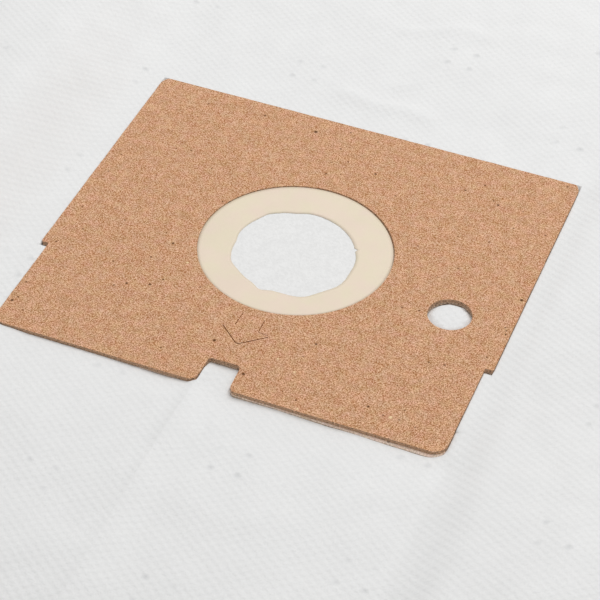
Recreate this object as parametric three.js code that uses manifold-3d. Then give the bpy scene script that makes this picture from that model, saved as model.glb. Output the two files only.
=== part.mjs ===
// A flat vacuum cleaner dust bag: two nonwoven panels welded round the edge, with a card collar
// glued over the inlet. Units are millimetres and +Z is up. The bag lies on its back panel, its
// plan is centred on the origin, and the collar's key notch points to -Y.

import * as THREE from "three";
import { mergeVertices } from "three/addons/utils/BufferGeometryUtils.js";
import Module from "manifold-3d";

const wasm = await Module();
wasm.setup();

// Bag panels
const BAG_WIDTH = 260;
const BAG_LENGTH = 300;
const SHEET_THICKNESS = 0.5;
const SEAM_WIDTH = 6;
const FACET_SIZE = 9.5;

// How the front panel stands off the back one: a narrow gap under the collar as far as a crease
// round it, then a high swell along each side, a low one at each end, and down to the seam
const GAP_AT_COLLAR = 0.75;
const CREASE_OUTSIDE_COLLAR = 2;
const LEFT_SWELL = 12;
const LEFT_RUN = 27;
const RIGHT_SWELL = 9;
const RIGHT_RUN = 30;
const END_SWELL = 5.5;
const END_RUN = 76;
const SIDE_SEAM_RUN = 27;
const END_SEAM_RUN = 34;

// Card collar
const COLLAR_WIDTH = 110;
const COLLAR_BACK_REACH = 48.5;
const COLLAR_FRONT_REACH = 49.2;
const PLY_THICKNESS = 0.875;
const STEP_INSET = 1.9;
const STEP_BEHIND_FRONT = 28.4;
const STEP_RADIUS = 0.5;
const BACK_CORNER_ACROSS = 1;
const BACK_CORNER_ALONG = 2;
const BACK_CORNER_RADIUS = 0.6;
const FRONT_CORNER_RADIUS = 3.2;
const BACKING_PEEK = 0.7;

// Key notch in the collar's front edge
const NOTCH_DEPTH = 8;
const NOTCH_TOP_WIDTH = 7.4;
const NOTCH_MOUTH_WIDTH = 8;
const NOTCH_TOP_RADIUS = 0.8;
const NOTCH_MOUTH_RADIUS = 1.75;

// Inlet and locating hole, with the collar's place along the bag
const INLET_RADIUS = 22.7;
const INLET_BEFORE_MIDDLE = 10;
const LOCATING_HOLE_RADIUS = 5;
const LOCATING_HOLE_FROM_SIDE = 14.9;
const LOCATING_HOLE_BEFORE_INLET = 7.4;
const PANEL_HOLE_MARGIN = 0.8;

// Seal membrane, held between the two plies
const MEMBRANE_THICKNESS = 0.25;
const MEMBRANE_GRIP = 5.3;
const MEMBRANE_CLEARANCE = 0.3;
const MEMBRANE_HOLE_RADIUS = 14.3;
// How far the torn edge of its hole lies outside that radius, from +X round by +Y
const MEMBRANE_EDGE_WAVE = [0.4, 0.2, 0.1, 0.2, 0.4, -0.3, 0.5, 0.1, -0.2, 0.5, 0.2, 0.6, 0.4, 1.4, 1, 1.1];

// Insertion arrow, scored into the top ply between the inlet and the notch
const ARROW_FROM_INLET = 2;
const ARROW_LENGTH = 10.2;
const ARROW_WIDTH = 10.8;
const ARROW_SHAFT_LENGTH = 4.6;
const ARROW_SHAFT_WIDTH = 5.8;
const SCORE_WIDTH = 0.25;
const SCORE_DEPTH = 0.3;

// Levels worked out from the sizes above
const PANEL_UNDERSIDE = SHEET_THICKNESS + GAP_AT_COLLAR;
const COLLAR_SEAT = PANEL_UNDERSIDE + SHEET_THICKNESS;
const MEMBRANE_BOTTOM = COLLAR_SEAT + PLY_THICKNESS - MEMBRANE_THICKNESS;
const TOP_PLY_BOTTOM = COLLAR_SEAT + PLY_THICKNESS;
const MEMBRANE_RADIUS = INLET_RADIUS + MEMBRANE_GRIP;
const LOCATING_HOLE_X = COLLAR_WIDTH / 2 - LOCATING_HOLE_FROM_SIDE;

// Where the creases round the collar run
const CREASE_BESIDE = COLLAR_WIDTH / 2 + CREASE_OUTSIDE_COLLAR;
const CREASE_BEHIND = COLLAR_BACK_REACH + CREASE_OUTSIDE_COLLAR - INLET_BEFORE_MIDDLE;
const CREASE_IN_FRONT = -COLLAR_FRONT_REACH - CREASE_OUTSIDE_COLLAR - INLET_BEFORE_MIDDLE;

const ROUND_SEGMENTS = 72;
const CURVE_SEGMENTS = 4;
const CUT_OVERSHOOT = 1;

// Materials, one for each kind of stuff
const KRAFT = new THREE.MeshStandardMaterial({ color: 0xc99c7b, roughness: 0.92, metalness: 0 });
const KRAFT_BACKING = new THREE.MeshStandardMaterial({ color: 0xb98f70, roughness: 0.94, metalness: 0 });
const MEMBRANE_FILM = new THREE.MeshStandardMaterial({ color: 0xe8dbc7, roughness: 0.55, metalness: 0 });
const NONWOVEN_FRONT = new THREE.MeshStandardMaterial({ color: 0xebebea, roughness: 0.85, metalness: 0 });
const NONWOVEN_BACK = new THREE.MeshStandardMaterial({ color: 0xe4e4e3, roughness: 0.85, metalness: 0 });

// A closed geometry as a solid that can be joined and cut.
function solidFrom(geometry) {
  const bare = geometry.clone();
  bare.deleteAttribute("normal");
  bare.deleteAttribute("uv");
  const merged = mergeVertices(bare);
  return new wasm.Manifold(
    new wasm.Mesh({
      numProp: 3,
      vertProperties: merged.attributes.position.array,
      triVerts: new Uint32Array(merged.index.array),
    }),
  );
}

function geometryFrom(solid) {
  const { vertProperties, triVerts } = solid.getMesh();
  const geometry = new THREE.BufferGeometry();
  geometry.setAttribute("position", new THREE.BufferAttribute(vertProperties, 3));
  geometry.setIndex(new THREE.BufferAttribute(triVerts, 1));
  geometry.computeVertexNormals();
  return geometry;
}

// An upright round cutter between two levels.
function roundCutter(radius, bottom, top, x = 0, y = 0) {
  const cutter = new THREE.CylinderGeometry(radius, radius, top - bottom, ROUND_SEGMENTS);
  cutter.rotateX(Math.PI / 2);
  cutter.translate(x, y, (bottom + top) / 2);
  return solidFrom(cutter);
}

// A closed outline through corners given as [x, y, radius], counter-clockwise, each corner rounded
// by an arc that touches both of its edges.
function roundedOutline(corners) {
  const shape = new THREE.Shape();
  corners.forEach(([x, y, radius], i) => {
    const corner = new THREE.Vector2(x, y);
    const [beforeX, beforeY] = corners.at(i - 1);
    const [afterX, afterY] = corners[(i + 1) % corners.length];
    const back = new THREE.Vector2(beforeX, beforeY).sub(corner).normalize();
    const ahead = new THREE.Vector2(afterX, afterY).sub(corner).normalize();
    const halfAngle = Math.acos(back.dot(ahead)) / 2;
    const start = back.clone().multiplyScalar(radius / Math.tan(halfAngle)).add(corner);
    const end = ahead.clone().multiplyScalar(radius / Math.tan(halfAngle)).add(corner);
    const middle = back.clone().add(ahead).normalize();
    const centre = middle.multiplyScalar(radius / Math.sin(halfAngle)).add(corner);
    const clockwise = back.cross(ahead) > 0;
    shape.absarc(
      centre.x,
      centre.y,
      radius,
      Math.atan2(start.y - centre.y, start.x - centre.x),
      Math.atan2(end.y - centre.y, end.x - centre.x),
      clockwise,
    );
  });
  shape.closePath();
  return shape;
}

// The die-cut outline of a ply, seen from above with the inlet's centre at the origin. The backing
// ply reaches a little further forward at its right corner than the top ply.
function collarOutline(peek) {
  const side = COLLAR_WIDTH / 2;
  const frontSide = side - STEP_INSET;
  const front = -COLLAR_FRONT_REACH;
  const back = COLLAR_BACK_REACH;
  const step = front + STEP_BEHIND_FRONT;
  const notchTop = front + NOTCH_DEPTH;
  return roundedOutline([
    [-frontSide, front, FRONT_CORNER_RADIUS],
    [-NOTCH_MOUTH_WIDTH / 2, front, NOTCH_MOUTH_RADIUS],
    [-NOTCH_TOP_WIDTH / 2, notchTop, NOTCH_TOP_RADIUS],
    [NOTCH_TOP_WIDTH / 2, notchTop, NOTCH_TOP_RADIUS],
    [NOTCH_MOUTH_WIDTH / 2, front, NOTCH_MOUTH_RADIUS],
    [frontSide, front - peek, FRONT_CORNER_RADIUS],
    [frontSide, step, STEP_RADIUS],
    [side, step, STEP_RADIUS],
    [side, back - BACK_CORNER_ALONG, BACK_CORNER_RADIUS],
    [side - BACK_CORNER_ACROSS, back, BACK_CORNER_RADIUS],
    [-side + BACK_CORNER_ACROSS, back, BACK_CORNER_RADIUS],
    [-side, back - BACK_CORNER_ALONG, BACK_CORNER_RADIUS],
    [-side, step, STEP_RADIUS],
    [-frontSide, step, STEP_RADIUS],
  ]);
}

// One ply of card with its two holes, lying on z = 0.
function plySolid(peek) {
  const card = new THREE.ExtrudeGeometry(collarOutline(peek), {
    depth: PLY_THICKNESS,
    bevelEnabled: false,
    curveSegments: CURVE_SEGMENTS,
  });
  const below = -CUT_OVERSHOOT;
  const above = PLY_THICKNESS + CUT_OVERSHOOT;
  const inlet = roundCutter(INLET_RADIUS, below, above);
  const locating = roundCutter(
    LOCATING_HOLE_RADIUS,
    below,
    above,
    LOCATING_HOLE_X,
    -LOCATING_HOLE_BEFORE_INLET,
  );
  return solidFrom(card).subtract(inlet).subtract(locating);
}

// The scored lines of the arrow as pairs of ends. The left barb was not pressed through.
function arrowLines() {
  const top = -INLET_RADIUS - ARROW_FROM_INLET;
  const shoulder = top - ARROW_SHAFT_LENGTH;
  const tip = top - ARROW_LENGTH;
  const shaft = ARROW_SHAFT_WIDTH / 2;
  const wing = ARROW_WIDTH / 2;
  return [
    [[-shaft, top], [shaft, top]],
    [[-shaft, top], [-shaft, shoulder]],
    [[shaft, top], [shaft, shoulder]],
    [[shaft, shoulder], [wing, shoulder]],
    [[-wing, shoulder], [0, tip]],
    [[wing, shoulder], [0, tip]],
  ];
}

// A groove along one scored line, open at the top face of the ply.
function scoreCutter([[fromX, fromY], [toX, toY]]) {
  const run = new THREE.Vector2(toX - fromX, toY - fromY);
  const groove = new THREE.BoxGeometry(run.length() + SCORE_WIDTH, SCORE_WIDTH, 2 * SCORE_DEPTH);
  groove.rotateZ(run.angle());
  groove.translate((fromX + toX) / 2, (fromY + toY) / 2, PLY_THICKNESS);
  return solidFrom(groove);
}

function collarCard() {
  let card = plySolid(0);
  for (const line of arrowLines()) card = card.subtract(scoreCutter(line));
  return geometryFrom(card);
}

// The backing ply has a shallow round seat that takes the membrane flush.
function collarBacking() {
  const seat = roundCutter(
    MEMBRANE_RADIUS + MEMBRANE_CLEARANCE,
    PLY_THICKNESS - MEMBRANE_THICKNESS,
    PLY_THICKNESS + CUT_OVERSHOOT,
  );
  return geometryFrom(plySolid(BACKING_PEEK).subtract(seat));
}

function sealMembrane() {
  const film = new THREE.Shape();
  film.absarc(0, 0, MEMBRANE_RADIUS, 0, 2 * Math.PI);
  const edge = MEMBRANE_EDGE_WAVE.map((wave, i) => {
    const angle = (2 * Math.PI * i) / MEMBRANE_EDGE_WAVE.length;
    const radius = MEMBRANE_HOLE_RADIUS + wave;
    return new THREE.Vector3(radius * Math.cos(angle), radius * Math.sin(angle), 0);
  });
  const curve = new THREE.CatmullRomCurve3(edge, true);
  const hole = new THREE.Path();
  hole.setFromPoints(curve.getPoints(ROUND_SEGMENTS).slice(0, -1));
  film.holes.push(hole);
  return new THREE.ExtrudeGeometry(film, {
    depth: MEMBRANE_THICKNESS,
    bevelEnabled: false,
    curveSegments: ROUND_SEGMENTS / 2,
  });
}

// How far the front panel stands off the back one at a point of the plan. The left swell rises
// softly, and the right one straight from its crease.
function standOff(x, y) {
  const { clamp, smoothstep } = THREE.MathUtils;
  const outward = clamp((x - CREASE_BESIDE) / RIGHT_RUN, 0, 1);
  const rightSwell = RIGHT_SWELL * outward * (2 - outward);
  const leftSwell = LEFT_SWELL * smoothstep(-x - CREASE_BESIDE, 0, LEFT_RUN);
  const beyondCollar = Math.max(y - CREASE_BEHIND, CREASE_IN_FRONT - y);
  const endSwell = END_SWELL * smoothstep(beyondCollar, 0, END_RUN);
  const fromSide = BAG_WIDTH / 2 - SEAM_WIDTH - Math.abs(x);
  const fromEnd = BAG_LENGTH / 2 - SEAM_WIDTH - Math.abs(y);
  const swell = GAP_AT_COLLAR + Math.hypot(leftSwell + rightSwell, endSwell);
  return swell * smoothstep(fromSide, 0, SIDE_SEAM_RUN) * smoothstep(fromEnd, 0, END_SEAM_RUN);
}

// Grid lines through the given places, with even cells of about FACET_SIZE between them.
function gridLines(places) {
  const lines = [places[0]];
  for (let i = 1; i < places.length; i += 1) {
    const cells = Math.ceil((places[i] - places[i - 1]) / FACET_SIZE);
    for (let cell = 1; cell <= cells; cell += 1) {
      lines.push(THREE.MathUtils.lerp(places[i - 1], places[i], cell / cells));
    }
  }
  return lines;
}

// The front panel: a sheet raised to its stand-off, cut through under the inlet. Its grid follows
// the seam and the creases, so it is flat on the seam and under the collar.
function frontPanel() {
  const side = BAG_WIDTH / 2;
  const end = BAG_LENGTH / 2;
  const columns = gridLines([
    -side,
    -side + SEAM_WIDTH,
    -CREASE_BESIDE,
    CREASE_BESIDE,
    side - SEAM_WIDTH,
    side,
  ]);
  const rows = gridLines([
    -end,
    -end + SEAM_WIDTH,
    CREASE_IN_FRONT,
    CREASE_BEHIND,
    end - SEAM_WIDTH,
    end,
  ]);
  const across = columns.length - 1;
  const along = rows.length - 1;
  const sheet = new THREE.BoxGeometry(across, along, SHEET_THICKNESS, across, along, 1);
  sheet.translate(across / 2, along / 2, SHEET_THICKNESS * 1.5);
  const points = sheet.attributes.position;
  for (let i = 0; i < points.count; i += 1) {
    const x = columns[Math.round(points.getX(i))];
    const y = rows[Math.round(points.getY(i))];
    points.setXYZ(i, x, y, points.getZ(i) + standOff(x, y));
  }
  const inlet = roundCutter(
    INLET_RADIUS + PANEL_HOLE_MARGIN,
    PANEL_UNDERSIDE - CUT_OVERSHOOT,
    COLLAR_SEAT + CUT_OVERSHOOT,
    0,
    -INLET_BEFORE_MIDDLE,
  );
  return geometryFrom(solidFrom(sheet).subtract(inlet));
}

function backPanel() {
  const sheet = new THREE.BoxGeometry(BAG_WIDTH, BAG_LENGTH, SHEET_THICKNESS);
  sheet.translate(0, 0, SHEET_THICKNESS / 2);
  return sheet;
}

function piece(name, geometry, material, height = 0) {
  const mesh = new THREE.Mesh(geometry, material);
  mesh.name = name;
  mesh.position.z = height;
  return mesh;
}

const collar = new THREE.Group();
collar.position.y = -INLET_BEFORE_MIDDLE;
collar.add(
  piece("collar_backing_card", collarBacking(), KRAFT_BACKING, COLLAR_SEAT),
  piece("seal_membrane", sealMembrane(), MEMBRANE_FILM, MEMBRANE_BOTTOM),
  piece("collar_card", collarCard(), KRAFT, TOP_PLY_BOTTOM),
);

const dustBag = new THREE.Group();
dustBag.add(
  piece("bag_back_panel", backPanel(), NONWOVEN_BACK),
  piece("bag_front_panel", frontPanel(), NONWOVEN_FRONT),
  collar,
);

export default dustBag;
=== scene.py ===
"""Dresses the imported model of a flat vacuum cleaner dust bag.

Two white nonwoven panels are welded round the edge. A two-ply card collar with a key notch, a
locating hole and a scored arrow is glued over the inlet, and holds a torn seal membrane. Sizes
are metres, the bag lies on z = 0 and the collar's notch points to -Y.
"""

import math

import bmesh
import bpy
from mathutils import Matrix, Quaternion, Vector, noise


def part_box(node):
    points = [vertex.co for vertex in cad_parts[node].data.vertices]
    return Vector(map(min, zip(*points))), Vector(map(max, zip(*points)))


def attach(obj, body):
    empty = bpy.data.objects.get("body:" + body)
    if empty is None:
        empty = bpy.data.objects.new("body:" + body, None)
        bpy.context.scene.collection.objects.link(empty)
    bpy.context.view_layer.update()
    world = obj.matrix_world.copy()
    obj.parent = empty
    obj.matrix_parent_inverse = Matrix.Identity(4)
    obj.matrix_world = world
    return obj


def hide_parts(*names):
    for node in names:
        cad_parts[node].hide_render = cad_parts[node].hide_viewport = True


bl_info = {
    "name": "Vacuum Dust Bag",
    "version": (1, 0, 0),
    "blender": (4, 5, 0),
    "location": "View3D > Sidebar > Dust Bag",
    "description": "Builds the panels, card collar, membrane and studio of a flat dust bag",
    "category": "Add Mesh",
}

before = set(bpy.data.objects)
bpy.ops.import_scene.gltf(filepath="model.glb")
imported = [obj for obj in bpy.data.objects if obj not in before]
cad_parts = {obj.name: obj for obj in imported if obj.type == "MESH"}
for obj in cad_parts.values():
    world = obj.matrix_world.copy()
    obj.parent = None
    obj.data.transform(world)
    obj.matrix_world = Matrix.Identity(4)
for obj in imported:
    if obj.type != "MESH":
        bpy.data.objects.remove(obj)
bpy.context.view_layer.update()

PANEL_LOW, PANEL_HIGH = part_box("bag_front_panel")
CARD_LOW, CARD_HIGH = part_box("collar_card")
BACKING_LOW, BACKING_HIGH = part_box("collar_backing_card")
FILM_LOW, FILM_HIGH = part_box("seal_membrane")
INLET = (FILM_LOW + FILM_HIGH) / 2
BODY = "root"

# Size of the pulp's grain in the card's faces, in its cut edges and in the scored lines
FACE_GRAIN = 0.00027
EDGE_GRAIN = 0.0004
SCORE_GRAIN = 0.0003

# The one level at which the faces read their grain, so that it runs on over the worn edges
FACE_LEVEL = 0.18 * FACE_GRAIN

# The pulp's clouds, and its fibres: size in grains, directions in radians and squeeze along them
CLOUD_GRAINS = 10.0
FIBRE_DIRECTIONS = (0.5, 2.1)
FIBRE_SQUEEZE = 0.25

# Height of the relief in the card's faces, in its cut edges and in the membrane
FACE_BUMP = 0.00004
EDGE_BUMP = 0.00008
FILM_BUMP = 0.00002

# Order of a ply's materials. The lower ply has only the first two.
FACE, EDGE, SCORE, RIM = range(4)

# Middle of one group of four weld dots, from which the others are counted
WELD_GROUP = (-0.0225, -0.0595)

# Specks in the card's face, measured from the inlet: place and radius
DARK_SPECKS = [
    (-0.0115, 0.0428, 0.00045),
    (-0.0255, 0.0439, 0.00025),
    (0.0077, 0.0331, 0.0003),
    (0.0386, 0.0337, 0.0003),
    (0.0537, 0.0036, 0.00038),
    (0.0531, -0.0066, 0.0002),
    (0.0536, -0.0075, 0.0002),
    (0.0538, -0.0087, 0.00022),
    (-0.0266, -0.0096, 0.0003),
    (-0.0235, -0.0220, 0.00022),
    (-0.0256, -0.0247, 0.0003),
    (-0.0306, -0.0264, 0.0003),
    (0.0162, -0.0282, 0.00028),
    (-0.0049, -0.0359, 0.00035),
    (0.0051, -0.0432, 0.00035),
    (0.0335, -0.0419, 0.0003),
    (-0.0517, -0.0417, 0.00035),
    (-0.0510, -0.0402, 0.00022),
]
PALE_SPECKS = [
    (-0.0208, -0.0145, 0.0003),
    (0.0390, -0.0431, 0.0004),
    (0.0102, -0.0358, 0.00025),
    (0.0151, -0.0383, 0.00025),
    (0.0198, -0.0485, 0.00025),
]
PALE_FIBRE = (0.88, 0.68, 0.4)

# Scattered specks in the card's face: spacing, radius, share of places that hold one, strength
PALE_DUST = (0.0031, 0.00028, 0.1, 0.6)
DARK_DUST = (0.0037, 0.00032, 0.12, 0.8)


def length(name, default, description):
    """A size in metres, shown in the scene's length unit."""
    return bpy.props.FloatProperty(
        name=name, description=description, default=default, unit="LENGTH", precision=5
    )


def colour(name, default, description):
    return bpy.props.FloatVectorProperty(
        name=name, description=description, default=default, size=3, min=0.0, max=1.0, subtype="COLOR"
    )


class ClothSettings(bpy.types.PropertyGroup):
    """The two nonwoven panels."""

    thickness: length("Thickness", 0.00035, "Thickness of one panel")
    cell: length("Cell", 0.0016, "Size of the front panel's mesh cells")
    back_cell: length("Back cell", 0.002, "Size of the back panel's mesh cells")
    seam: length("Seam", 0.006, "Width of the welded band round the edge")
    gap: length("Gap", 0.00075, "How far the panels stand apart under the collar")
    crease: length("Crease", 0.002, "How far outside the collar the creases run")
    left_swell: length("Left swell", 0.012, "Rise of the front panel along its left side")
    left_run: length("Left run", 0.027, "Distance in which the left swell rises")
    right_swell: length("Right swell", 0.0055, "Rise of the front panel along its right side")
    right_run: length("Right run", 0.036, "Distance in which the right swell rises")
    right_shoulder: length("Right shoulder", 0.0013, "Steep rise just outside the right crease")
    shoulder_run: length("Shoulder run", 0.0075, "Width of the steep rise")
    front_shoulder: length("Front shoulder", 0.0052, "The steep rise in front of the collar")
    front_shoulder_run: length("Front shoulder run", 0.0145, "Its width in front of the collar")
    back_swell: length("Back swell", 0.0034, "Rise of the front panel behind the collar")
    back_run: length("Back run", 0.06, "Distance in which the back swell rises")
    front_swell: length("Front swell", 0.0019, "Rise of the front panel in front of the collar")
    front_run: length("Front run", 0.036, "Distance in which the front swell rises")
    side_fall: length("Side fall", 0.027, "Distance in which a side swell comes down to the seam")
    end_fall: length("End fall", 0.034, "Distance in which an end swell comes down to the seam")
    inlet_bulge: length("Inlet bulge", 0.0027, "How far the back panel bulges up under the inlet")
    side_puff: length("Side puff", 0.0016, "Rise of the loose cloth to the left and behind the card")
    right_puff: length("Right puff", 0.0013, "Rise of the loose cloth to the right of the card")
    notch_puff: length("Notch puff", 0.0004, "Rise of the cloth inside the key notch")
    hole_puff: length("Hole puff", 0.0010, "Rise of the cloth inside the locating hole")
    puff_run: length("Puff run", 0.0001, "Distance outside the card in which the cloth puffs up")
    bump_length: length("Bump length", 0.00282, "Spacing of the embossed bumps across the bag")
    bump_width: length("Bump width", 0.00204, "Spacing of the embossed bumps along the bag")
    bump_height: length("Bump height", 0.00012, "Height of the embossed bumps")
    weld_across: length("Weld spacing across", 0.035, "Spacing of the weld groups across the bag")
    weld_along: length("Weld spacing along", 0.0382, "Spacing of the weld groups along the bag")
    weld_square: length("Weld square", 0.0061, "Side of the square that four weld dots make")
    weld_radius: length("Weld radius", 0.0008, "Radius of a weld dot")
    white: colour("White", (0.84, 0.84, 0.835), "Colour of the nonwoven")
    inner_white: colour("Inner white", (0.815, 0.813, 0.806), "Colour of the nonwoven's inner side")
    weld_grey: colour("Weld grey", (0.5, 0.51, 0.52), "Colour of a pressed weld dot")


class CollarSettings(bpy.types.PropertyGroup):
    """The two plies of brown board and the arrow scored into the upper one."""

    step_inset: length("Step inset", 0.0019, "How far each side steps in towards the front")
    step_from_front: length("Step from front", 0.0284, "Distance from the front edge to the steps")
    step_radius: length("Step radius", 0.0005, "Rounding of the steps")
    back_clip_across: length("Back clip across", 0.001, "Width of the clipped back corners")
    back_clip_along: length("Back clip along", 0.002, "Length of the clipped back corners")
    back_radius: length("Back radius", 0.0006, "Rounding of the back corners")
    front_radius: length("Front radius", 0.0032, "Rounding of the front corners")
    backing_radius: length("Backing radius", 0.0038, "Rounding of the lower ply's right corner")
    backing_peek: length("Backing peek", 0.0009, "How far the lower ply peeks out in front")
    notch_depth: length("Notch depth", 0.008, "Depth of the key notch")
    notch_top: length("Notch top", 0.0074, "Width of the key notch at its top")
    notch_mouth: length("Notch mouth", 0.008, "Width of the key notch at the edge")
    notch_top_radius: length("Notch top radius", 0.0008, "Rounding at the top of the notch")
    notch_mouth_radius: length("Notch mouth radius", 0.00175, "Rounding at the mouth of the notch")
    edge_trim: length("Edge trim", 0.00015, "How far the cut sides lie inside the drawn ones")
    punch_slip: length("Punch slip", 0.0002, "How far to the right of their drawn places the holes lie")
    inlet_radius: length("Inlet radius", 0.0229, "Radius of the inlet")
    pin_radius: length("Locating hole radius", 0.0051, "Radius of the locating hole")
    pin_from_side: length("Locating hole from side", 0.0149, "Distance from the collar's right side")
    pin_before_inlet: length("Locating hole before inlet", 0.0074, "Distance in front of the inlet")
    edge_wear: length("Edge wear", 0.00024, "Rounding of the die-cut edges")
    edge_wander: length("Edge wander", 0.00007, "How far a die-cut edge wanders from its line")
    arrow_from_inlet: length("Arrow from inlet", 0.0247, "From the inlet's middle to the arrow")
    arrow_length: length("Arrow length", 0.0102, "Length of the arrow")
    arrow_width: length("Arrow width", 0.0108, "Width of the arrow's head")
    shaft_length: length("Shaft length", 0.0046, "Length of the arrow's shaft")
    shaft_width: length("Shaft width", 0.0058, "Width of the arrow's shaft")
    score_width: length("Score width", 0.00022, "Width of a scored line")
    score_depth: length("Score depth", 0.00016, "Depth of a scored line")
    deep: colour("Deep", (0.325, 0.12, 0.028), "Colour of the face's dark grains")
    pale: colour("Pale", (0.868, 0.553, 0.365), "Colour of the face's pale grains")
    backing_deep: colour("Backing deep", (0.62, 0.46, 0.35), "Colour of the lower ply's dark grains")
    backing_pale: colour("Backing pale", (0.94, 0.77, 0.65), "Colour of the lower ply's pale grains")
    edge: colour("Edge", (0.52, 0.38, 0.28), "Colour of the lower ply's cut edge")
    upper_edge: colour("Upper edge", (0.455, 0.285, 0.182), "Colour of the upper ply's cut edge")
    rim_deep: colour("Rim deep", (0.52, 0.40, 0.27), "Colour of the worn rim's dark grains")
    rim_pale: colour("Rim pale", (0.84, 0.75, 0.58), "Colour of the worn rim's pale grains")
    # The scored lines' dark brown is the board's colour darkened with painted shade for the inside of
    # the narrow grooves.
    score_with_painted_shade: colour("Score", (0.21, 0.065, 0.01), "Colour of the scored lines")


class FilmSettings(bpy.types.PropertyGroup):
    """The seal membrane between the plies."""

    hole_radius: length("Hole radius", 0.01427, "Usual radius of the torn hole")
    hole_slip: length("Hole slip", 0.0010, "How far in front of the inlet's middle the hole lies")
    rise: length("Rise", 0.0006, "How far the film domes up inside the inlet")
    thickness: length("Thickness", 0.00005, "Thickness of the membrane")
    sag: length("Sag", 0.0001, "How far the torn edge hangs down")
    cream: colour("Cream", (0.785, 0.675, 0.538), "Colour of the membrane")


class StudioSettings(bpy.types.PropertyGroup):
    """Camera, lights and floor."""

    lens: bpy.props.FloatProperty(
        name="Lens", description="Focal length on a 36 mm sensor", default=128.18, unit="CAMERA"
    )
    eye: bpy.props.FloatVectorProperty(
        name="Eye", description="Where the camera stands", default=(0.1307, -0.3608, 0.3269),
        subtype="TRANSLATION", unit="LENGTH",
    )
    target: bpy.props.FloatVectorProperty(
        name="Target", description="Where the camera looks", default=(0.00761, -0.02616, 0.0035),
        subtype="TRANSLATION", unit="LENGTH",
    )
    roll: bpy.props.FloatProperty(
        name="Roll", description="Tilt of the camera", default=math.radians(2.07), unit="ROTATION"
    )
    softbox_place: bpy.props.FloatVectorProperty(
        name="Softbox place", description="Where the large lamp hangs", default=(0.14, 0.36, 0.85),
        subtype="TRANSLATION", unit="LENGTH",
    )
    softbox_size: length("Softbox size", 0.8, "Side of the large lamp")
    softbox_power: bpy.props.FloatProperty(
        name="Softbox power", description="Power of the large lamp", default=5.34, unit="POWER"
    )
    room_light: bpy.props.FloatProperty(
        name="Room light", description="Strength of the even light from all round", default=0.54
    )
    backdrop: bpy.props.FloatProperty(
        name="Backdrop", description="Brightness of the room where it is seen", default=0.9
    )
    floor: colour("Floor", (0.66, 0.66, 0.67), "Colour of the floor")


def smoothstep(value, start, end):
    t = min(max((value - start) / (end - start), 0.0), 1.0)
    return t * t * (3.0 - 2.0 * t)


# Nodes

class Wiring:
    """Short ways to add and join the nodes of one node tree."""

    def __init__(self, tree):
        self.tree = tree

    def add(self, kind, **settings):
        node = self.tree.nodes.new("ShaderNode" + kind)
        for name, value in settings.items():
            setattr(node, name, value)
        return node

    def feed(self, socket, value):
        """Gives a socket a plain value, or joins it to another socket."""
        if isinstance(value, bpy.types.NodeSocket):
            self.tree.links.new(value, socket)
        else:
            socket.default_value = value

    def math(self, operation, *values):
        node = self.add("Math", operation=operation)
        for socket, value in zip(node.inputs, values):
            self.feed(socket, value)
        return node.outputs[0]

    def vector(self, operation, *values):
        node = self.add("VectorMath", operation=operation)
        for socket, value in zip(node.inputs, values):
            self.feed(socket, value)
        return node.outputs["Vector"]

    def ramp(self, value, from_low, from_high, to_low=0.0, to_high=1.0):
        """Carries a value from one range to another, held at both ends."""
        node = self.add("MapRange")
        for name, number in (
            ("Value", value),
            ("From Min", from_low),
            ("From Max", from_high),
            ("To Min", to_low),
            ("To Max", to_high),
        ):
            self.feed(node.inputs[name], number)
        return node.outputs["Result"]

    def mix(self, factor, first, second, blend="MIX"):
        node = self.add("Mix", data_type="RGBA", blend_type=blend)
        sockets = {socket.identifier: socket for socket in node.inputs}
        self.feed(sockets["Factor_Float"], factor)
        self.feed(sockets["A_Color"], first)
        self.feed(sockets["B_Color"], second)
        return next(s for s in node.outputs if s.identifier == "Result_Color")

    def noise(self, place, size, detail=2.0, roughness=0.5):
        """Noise whose blotches are about the given size in metres."""
        node = self.add("TexNoise")
        self.feed(node.inputs["Vector"], place)
        self.feed(node.inputs["Scale"], self.math("DIVIDE", 1.0, size))
        self.feed(node.inputs["Detail"], detail)
        self.feed(node.inputs["Roughness"], roughness)
        return node.outputs[0]


def new_group(name, inputs, outputs):
    """An empty node group with the named sockets, its wiring, and its sockets to read and feed."""
    group = bpy.data.node_groups.new(name, "ShaderNodeTree")
    for socket_name, kind in inputs:
        group.interface.new_socket(socket_name, in_out="INPUT", socket_type=kind)
    for socket_name, kind in outputs:
        group.interface.new_socket(socket_name, in_out="OUTPUT", socket_type=kind)
    wiring = Wiring(group)
    source = group.nodes.new("NodeGroupInput").outputs
    target = group.nodes.new("NodeGroupOutput").inputs
    return group, wiring, source, target


def place_group(wiring, group, **values):
    """A copy of a group in a material, its inputs set by name with _ for a space."""
    node = wiring.add("Group", node_tree=group)
    for name, value in values.items():
        wiring.feed(node.inputs[name.replace("_", " ")], value)
    return node.outputs


VALUE = "NodeSocketFloat"
VECTOR = "NodeSocketVector"


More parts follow.
